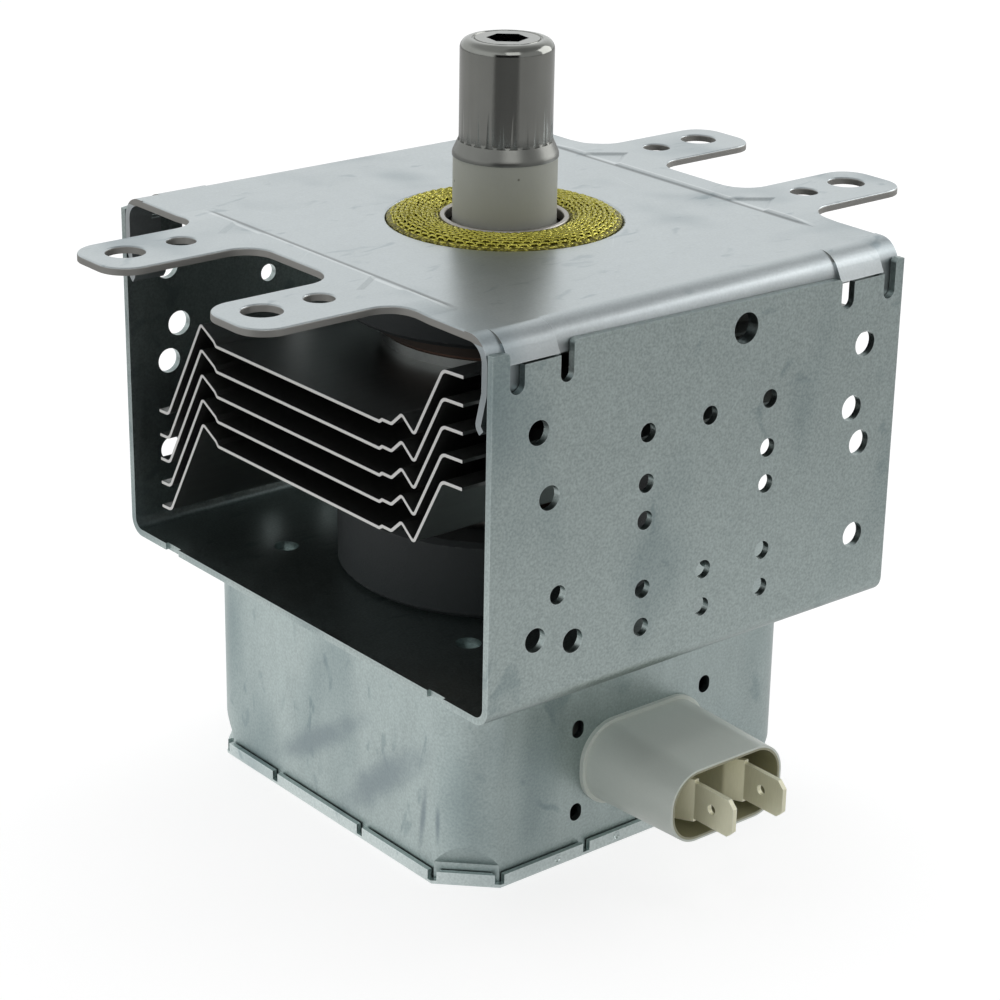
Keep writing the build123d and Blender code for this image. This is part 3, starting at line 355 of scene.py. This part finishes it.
def zinc_sheet(
    name, pale, deep, rolled, axes, rough, grainy=1.0, streaky=0.3, with_patches_and_crease_shade=False, hollow=None, cut_above=None
):
    """Zinc-coated sheet. Pale and deep are its two tones, rolled packs its streaks, axes lie along
    its main faces, and grainy and streaky say how much grain and streaks show. The patch flag brings
    the filter box's soft dark patches and the painted shade of its two creases, hollow is the half
    width and depth for inner_shade's painted shade, and cut_above is for plate_marks."""
    made, place = start(name)
    streak = noise(place, 90, 4.0, rolled)
    cloud = noise(place, 28, 3.0)
    speck = noise(place, 2500, 3.0)
    crystal = place.add("TexVoronoi", sockets={"Vector": place, "Scale": 520.0}, output="Color").split()[0]
    smudge = noise(place, 46, 2.0, (1, 1, 0.5), (0.3, 0.2, 0.4)).ease(0.5, 0.8)
    stain = noise(place, 130, 2.0, (1, 2.2, 1), (0, 0, 0.6), 0.8).ease(0.62, 0.74)
    edge = sharp_edges(place, 0.0004)
    lines = (scratches(place, axes, 90.0, 0.34) + scratches(place, axes, 47.0, 0.3)).held()
    grain = (speck - 0.5) * (2.0 * grainy)
    tone = crystal * 0.08 + (streak - 0.5) * streaky + cloud * 0.36 + grain + 0.28
    colour = tone.held().tint(deep, pale)
    dirt = (0.45 * deep[0], 0.55 * deep[1], 0.6 * deep[2])
    colour = (smudge * 0.6 + stain * 0.35).held().tint(colour, dirt)
    if with_patches_and_crease_shade:
        # Soft dark patches, and painted shade along two creases, on the filter box's left side.
        colour = (patches_and_painted_crease_shade(place) * 0.75).held().tint(colour, patch_and_crease_shade_grey)
    # Hairlines and sharp edges are lighter: the hairlines are scratches, and the edges are partly worn zinc
    # and partly a painted highlight.
    colour = (lines * 0.14 + edge * 0.2).held().tint(colour, toned(pale, 1.35))
    # Painted shade on the faces inside the lower yoke's hollow.
    if hollow is not None:
        colour = inner_shade(place, colour, toned(deep, 0.35), *hollow)
    rough = rough + 0.12 * grainy * (streak - 0.5 + speck - 0.5) + 0.08 * smudge - 0.04 * edge
    if cut_above is not None:
        colour, rough = plate_marks(place, cloud, colour, rough, cut_above)
    bump = relief((speck + streak) * (0.3 * grainy), 0.3, 0.00005)
    close(place, {"Base Color": colour, "Metallic": 1.0, "Roughness": rough.held(), "Normal": bump})
    return made


def finish_node(names, material):
    """Gives CAD pieces a better material; their shape stays as it is."""
    for name in names:
        for slot in part[name].material_slots:
            slot.material = material


top_sheet = zinc_sheet(
    "zinc_top_sheet",
    pale=(0.61, 0.655, 0.67),
    deep=(0.45, 0.487, 0.50),
    rolled=(1, 8, 8),
    axes=flat_face,
    rough=0.3,
    grainy=0.45,
    cut_above=-0.0017,
)
wall_sheet = zinc_sheet(
    "zinc_wall_sheet",
    pale=(0.46, 0.53, 0.518),
    deep=(0.33, 0.383, 0.376),
    rolled=(8, 8, 1),
    axes=wall_face,
    rough=0.36,
    grainy=1.4,
    hollow=(0.0483, 0.0599),
)
can_sheet = zinc_sheet(
    "zinc_can",
    pale=(0.465, 0.54, 0.53),
    deep=(0.33, 0.385, 0.38),
    rolled=(3, 3, 1),
    axes=wall_face,
    rough=0.38,
    streaky=0.9,
    with_patches_and_crease_shade=True,
)
cover_sheet = zinc_sheet(
    "zinc_cover",
    pale=(0.66, 0.73, 0.72),
    deep=(0.48, 0.545, 0.535),
    rolled=(1, 1, 5),
    axes=wall_face,
    rough=0.34,
)
finish_node(["upper_yoke"], top_sheet)
finish_node(["lower_yoke"], wall_sheet)
finish_node(["filter_box", "clamp_plate"], can_sheet)
finish_node(["filter_cover"], cover_sheet)

# Ring magnets and choke rods: pressed and fired ferrite, near black and dull, ground
# flat on the ends, with small pale chips along the edges.


def ferrite(name):
    made, place = start(name)
    grain = noise(place, 2600, 3.0)
    cloud = noise(place, 90, 3.0)
    chip = sharp_edges(place, 0.0006) * noise(place, 420, 2.0).ease(0.5, 0.62)
    body = (grain * 0.6 + cloud * 0.4).tint((0.013, 0.016, 0.017), (0.034, 0.039, 0.041))
    colour = (chip * 0.6).tint(body, (0.2, 0.2, 0.2))
    bump = relief(grain - chip, 0.5, 0.00008)
    close(place, {"Base Color": colour, "Roughness": 0.62 + 0.2 * grain, "Normal": bump})
    return made


finish_node(["upper_magnet", "lower_magnet", "choke_core_1", "choke_core_2"], ferrite("fired_ferrite"))

# Vacuum tube: copper anode and vanes between plated iron shells, with refractory metal
# leads inside. The metal is turned, drawn or stamped. The anode's copper is darkened as painted
# shade, and the output side's shell is a dark brown iron.


def plain_metal(name, pale, deep, shine, packed=(1, 1, 1), metallic=1.0):
    """Bare metal between two tones; packed gives its working marks a direction."""
    made, place = start(name)
    grain = noise(place, 700, 4.0, packed)
    cloud = noise(place, 120, 3.0)
    edge = sharp_edges(place, 0.0003)
    body = (grain * 0.5 + cloud * 0.5).tint(deep, pale)
    # Sharp edges are lighter, partly as worn bare metal and partly as a painted highlight.
    colour = (edge * 0.4).tint(body, toned(pale, 1.35))
    rough = shine + 0.14 * (grain - 0.5)
    bump = relief(grain, 0.3, 0.00005)
    close(place, {"Base Color": colour, "Metallic": metallic, "Roughness": rough, "Normal": bump})
    return made


vanes = [f"anode_vane_{number}" for number in range(1, 11)]
straps = [f"{end}_{size}_strap" for end in ("upper", "lower") for size in ("small", "large")]
hats_and_leads = ["upper_end_hat", "lower_end_hat", "centre_lead", "side_lead"]
lead_strips = ["centre_lead_strip", "side_lead_strip"]
copper = plain_metal("bare_copper", (0.62, 0.34, 0.24), (0.40, 0.20, 0.13), 0.36, (1, 1, 9))
iron = plain_metal("plated_iron", (0.50, 0.48, 0.45), (0.34, 0.32, 0.30), 0.38, (1, 1, 6))
# A dark brown iron for the output side's shell.
dark_brown_iron = plain_metal("dark_brown_iron", (0.075, 0.058, 0.05), (0.03, 0.026, 0.024), 0.5, (1, 1, 6))
# Copper darkened as painted shade, for the anode.
copper_in_painted_shade = plain_metal("copper_in_painted_shade", (0.17, 0.105, 0.08), (0.08, 0.052, 0.042), 0.5, (1, 1, 9))
refractory = plain_metal("molybdenum", (0.44, 0.44, 0.45), (0.30, 0.30, 0.31), 0.42, (1, 1, 6))
tungsten = plain_metal("tungsten_wire", (0.30, 0.30, 0.31), (0.18, 0.18, 0.19), 0.48)
finish_node(["antenna_lead", "exhaust_tube", "through_rod_1", "through_rod_2", *vanes, *straps], copper)
finish_node(["input_side_shell", "upper_pole_piece", "lower_pole_piece", "gasket_collar"], iron)
finish_node(["output_side_shell"], dark_brown_iron)
finish_node(["anode_cylinder"], copper_in_painted_shade)
finish_node([*hats_and_leads, *lead_strips], refractory)
finish_node(["filament"], tungsten)

# Ceramics: fired alumina, unglazed and warm white, ground on its ends, with a few
# dark specks burnt in and a faint grey bloom from handling.


def alumina(name):
    made, place = start(name)
    grain = noise(place, 2200, 2.0)
    bloom = noise(place, 160, 3.0)
    clear = place.add("TexVoronoi", sockets={"Vector": place, "Scale": 240.0}).ease(0.05, 0.09)
    body = (bloom * 0.7 + grain * 0.3).tint((0.43, 0.438, 0.396), (0.515, 0.522, 0.47))
    colour = clear.tint((0.16, 0.15, 0.13), body)
    bump = relief(grain, 0.25, 0.00005)
    close(place, {"Base Color": colour, "Roughness": 0.55 + 0.12 * (grain - 0.5), "Normal": bump})
    return made


finish_node(["output_ceramic", "stem_ceramic", "capacitor_ceramic"], alumina("fired_alumina"))

# Antenna cap: stainless steel, deep-drawn to a smooth cup and pressed onto the ceramic.
# Fine drawing lines run up its wall, and the lip at its foot is darker and duller.
lip_edge = (0.0125, 0.0145)


def drawn_stainless(name):
    made, place = start(name)
    ribs = noise(place, 300, 3.0, (1, 1, 0.04))
    cloud = noise(place, 140, 3.0)
    grain = noise(place, 2400, 2.0)
    lip = 1.0 - place.split()[2].ease(*lip_edge)
    body = (ribs * 0.6 + cloud * 0.4).tint((0.19, 0.192, 0.179), (0.32, 0.324, 0.303))
    # Sharp edges are lighter, partly rubbed and partly a painted highlight.
    rubbed_and_highlit = (sharp_edges(place, 0.0003) * 0.2).tint(body, (0.5, 0.5, 0.48))
    colour = (lip * 0.35).tint(rubbed_and_highlit, (0.06, 0.06, 0.055))
    rough = 0.09 + 0.08 * grain + 0.2 * lip
    bump = relief(ribs + grain * 0.3, 0.3, 0.00005)
    close(place, {"Base Color": colour, "Metallic": 1.0, "Roughness": rough, "Normal": bump})
    return made


finish_node(["antenna_cap"], drawn_stainless("drawn_stainless"))

# Seal ring: a stocking knitted from brass wire, wound round the collar and pressed into
# a flat ring. The wire's loops lie on the pressed ring below.
knit_sizes = {
    "Winds": 9,
    "Loops": 66.4,
    "Points": 9,
    "Inner": 0.0109,
    "Outer": 0.0184,
    "Bow": 0.5,
    "Width": 0.36,
    "Lift": 0.00022,
    "Shake": 1.4,
    "Drift": 1.7,
    "Top": 0.00045,
    "Drop": 0.0007,
    "Wire": 0.00019,
    "Seed": 3.0,
}


def brass_wire(name):
    made, place = start(name)
    tarnish = noise(place, 260, 3.0)
    grain = noise(place, 2500, 2.0)
    colour = (tarnish * 0.7 + grain * 0.3).tint((0.30, 0.265, 0.018), (0.76, 0.71, 0.17))
    close(place, {"Base Color": colour, "Metallic": 1.0, "Roughness": 0.17 + 0.12 * grain})
    return made


def knit_core(name):
    """The pressed wire below the loops, seen only in their gaps."""
    made, place = start(name)
    knit = place.add("TexVoronoi", sockets={"Vector": place, "Scale": 1900.0})
    colour = knit.ease(0.1, 0.7).tint((0.50, 0.46, 0.10), (0.12, 0.105, 0.015))
    bump = relief(1.0 - knit, 0.9, 0.0003)
    close(place, {"Base Color": colour, "Metallic": 0.85, "Roughness": 0.45, "Normal": bump})
    return made


def knitted_ring(name, material, sizes):
    """One wire, laid in Loops to the wind on a flat ring that falls by Drop to its edges. Bow and
    Shake are shares of the gap between winds, Width is a share of a loop, and Drift is how fast
    the shake changes from loop to loop. Lengths are in metres."""
    group = bpy.data.node_groups.new(name, "GeometryNodeTree")
    group.interface.new_socket("Geometry", in_out="OUTPUT", socket_type="NodeSocketGeometry")
    keys = {}
    for label, value in sizes.items():
        kind = "NodeSocketInt" if isinstance(value, int) else "NodeSocketFloat"
        keys[label] = group.interface.new_socket(label, in_out="INPUT", socket_type=kind).identifier
    entry = group.nodes.new("NodeGroupInput")
    given = {label: Wire(group, entry.outputs[label]) for label in sizes}
    tree = Wire(group)

    count = given["Winds"] * given["Loops"] * given["Points"]
    loop = tree.add("GeometryNodeInputIndex") / given["Points"]
    share = loop / (given["Winds"] * given["Loops"])
    phase = loop * (2 * pi)
    row_gap = (given["Outer"] - given["Inner"]) / given["Winds"]
    chance = {"W": loop * given["Drift"] + given["Seed"], "Scale": 1.0, "Detail": 2.0}
    shaken = tree.add("TexNoise", {"noise_dimensions": "1D"}, chance) - 0.5

    bow = phase.maths("COSINE") * (row_gap * given["Bow"])
    shake = shaken * (row_gap * given["Shake"])
    radius = given["Inner"] + share * (given["Outer"] - given["Inner"]) + bow + shake
    side = (phase * 2.0).maths("SINE") * given["Width"]
    angle = (loop + side) / given["Loops"] * (2 * pi)
    middle = (given["Inner"] + given["Outer"]) / 2.0
    off = (radius - middle) / (given["Outer"] - middle)
    crown = given["Top"] - off.size().maths("POWER", 3.0) * given["Drop"]
    height = crown + (phase * 2.0).maths("COSINE") * given["Lift"] + shaken * given["Lift"]
    x, y = radius * angle.maths("COSINE"), radius * angle.maths("SINE")
    spot = tree.add("CombineXYZ", sockets={0: x, 1: y, 2: height})

    line = tree.add("GeometryNodeMeshLine", {"mode": "OFFSET"}, {"Count": count, "Offset": (0.001, 0, 0)})
    laid = tree.add("GeometryNodeSetPosition", sockets={"Geometry": line, "Position": spot})
    run = tree.add("GeometryNodeMeshToCurve", sockets={"Mesh": laid})
    circle = tree.add("GeometryNodeCurvePrimitiveCircle", sockets={"Resolution": 6, "Radius": given["Wire"]})
    profile = {"Curve": run, "Profile Curve": circle, "Fill Caps": True}
    tube = tree.add("GeometryNodeCurveToMesh", sockets=profile)
    smooth = tree.add("GeometryNodeSetShadeSmooth", sockets={"Geometry": tube})
    real = tree.add("GeometryNodeRealizeInstances", sockets={"Geometry": smooth})
    dressed = tree.add("GeometryNodeSetMaterial", sockets={"Geometry": real, "Material": material})
    group.links.new(dressed.socket, group.nodes.new("NodeGroupOutput").inputs[0])

    holder = bpy.data.objects.new(name + "_tree", bpy.data.meshes.new(name + "_tree"))
    bpy.context.scene.collection.objects.link(holder)
    grown = holder.modifiers.new("knit", "NODES")
    grown.node_group = group
    for label, value in sizes.items():
        grown[keys[label]] = value
    mesh = bpy.data.meshes.new_from_object(holder.evaluated_get(bpy.context.evaluated_depsgraph_get()))
    bpy.data.objects.remove(holder)
    made = bpy.data.objects.new(name, mesh)
    bpy.context.scene.collection.objects.link(made)
    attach(made, "root")


knitted_ring("seal_ring_knit", brass_wire("knitted_brass_wire"), knit_sizes)
finish_node(["rf_gasket"], knit_core("knitted_brass_core"))

# Cooling fins: thin rolled aluminium, satin on its faces and bright along the sheared ends,
# with fine rolling lines along X, and a painted highlight along the sharp edges.
sheared_end = (0.0369, 0.0373)


def rolled_aluminium(name):
    made, place = start(name)
    lines = noise(place, 120, 4.0, (1, 12, 12))
    cloud = noise(place, 60, 3.0)
    grain = noise(place, 2200, 2.0)
    body = (lines * 0.5 + cloud * 0.5).tint((0.26, 0.268, 0.262), (0.38, 0.39, 0.382))
    endwise = facing(place).split()[0].size().ease(0.6, 0.9)
    at_end = place.split()[0].size().ease(*sheared_end)
    # Bright sheared ends, and a painted highlight on the sharp edges.
    sheared_ends_and_highlight = (endwise * at_end + sharp_edges(place, 0.0003) * 0.15).held()
    colour = sheared_ends_and_highlight.tint(body, (0.60, 0.60, 0.585))
    rough = 0.34 + 0.12 * (grain - 0.5) + 0.1 * sheared_ends_and_highlight
    bump = relief(lines + grain * 0.5, 0.25, 0.00005)
    close(place, {"Base Color": colour, "Metallic": 1.0, "Roughness": rough, "Normal": bump})
    return made


finish_node([f"fin_{number}" for number in range(1, 6)], rolled_aluminium("rolled_aluminium"))

# Plug housing and capacitor case: moulded glass-filled polyester, cream and slightly
# glossy, a little yellower inside the plug's mouth and darker there as painted shade, with fine
# flow marks, a few scuffs, and a painted highlight along the sharp edges.
mouth_x, mouth_z, mouth_corner = 0.00136, -0.08205, 0.005
mouth_flat_x, mouth_flat_z = 0.00625, 0.00055


def moulding(name, outside, inside):
    """Outside and inside are its two colours, which meet at the rim of the plug's mouth; the inside
    one is darker as painted shade in the mouth. Seen along Y the mouth is an oblong with round
    corners, and its flats end that far from its middle."""
    made, place = start(name)
    flow = noise(place, 130, 4.0, (1, 0.4, 1), distortion=0.8)
    grain = noise(place, 2600, 2.0)
    scuff = scratches(place, wall_face, 160.0, 0.3)
    x, _, z = place.split()
    off_x = ((x - mouth_x).size() - mouth_flat_x).maths("MAXIMUM")
    off_z = ((z - mouth_z).size() - mouth_flat_z).maths("MAXIMUM")
    out_of_mouth = ((off_x * off_x + off_z * off_z).maths("SQRT") - mouth_corner).ease(0.00025, 0.00045)
    marks = flow * 0.6 + grain * 0.4
    body = marks.tint(toned(outside, 0.86), outside)
    # The mouth's lining: yellower, and darker as painted shade.
    lining_with_painted_shade = marks.tint(toned(inside, 0.88), inside)
    moulded = out_of_mouth.tint(lining_with_painted_shade, body)
    # Sharp edges are lighter as a painted highlight, and scuffs are lighter as wear.
    colour = (sharp_edges(place, 0.0006) * 0.25 + scuff * 0.3).held().tint(moulded, (0.86, 0.86, 0.80))
    rough = 0.42 + 0.12 * (grain - 0.5)
    bump = relief(flow + grain * 0.3 - scuff * 0.4, 0.25, 0.0001)
    close(place, {"Base Color": colour, "Roughness": rough, "Normal": bump, "Coat Weight": 0.15})
    return made


# The inside colour is yellower, and darker as painted shade in the plug's mouth.
cream = moulding("cream_moulding", outside=(0.70, 0.745, 0.69), inside=(0.31, 0.30, 0.185))
finish_node(["plug_housing", "capacitor_case"], cream)

# Push-on blades: brass strip, tinned dull silver with the brass warming it, and lighter along
# the blanked edges, partly as bare metal and partly as a painted highlight.
tinned = plain_metal("tinned_blade", (0.96, 0.94, 0.72), (0.74, 0.72, 0.52), 0.4, (1, 6, 1), metallic=0.3)
finish_node(["terminal_blade_1", "terminal_blade_2"], tinned)

# Choke coils: copper wire in clear brown enamel, which keeps it glossy. It is wound close
# on the ferrite rods, which slide into the coils.
enamelled = plain_metal("enamelled_wire", (0.46, 0.20, 0.09), (0.28, 0.11, 0.04), 0.22)
finish_node(["choke_coil_1", "choke_coil_2"], enamelled)
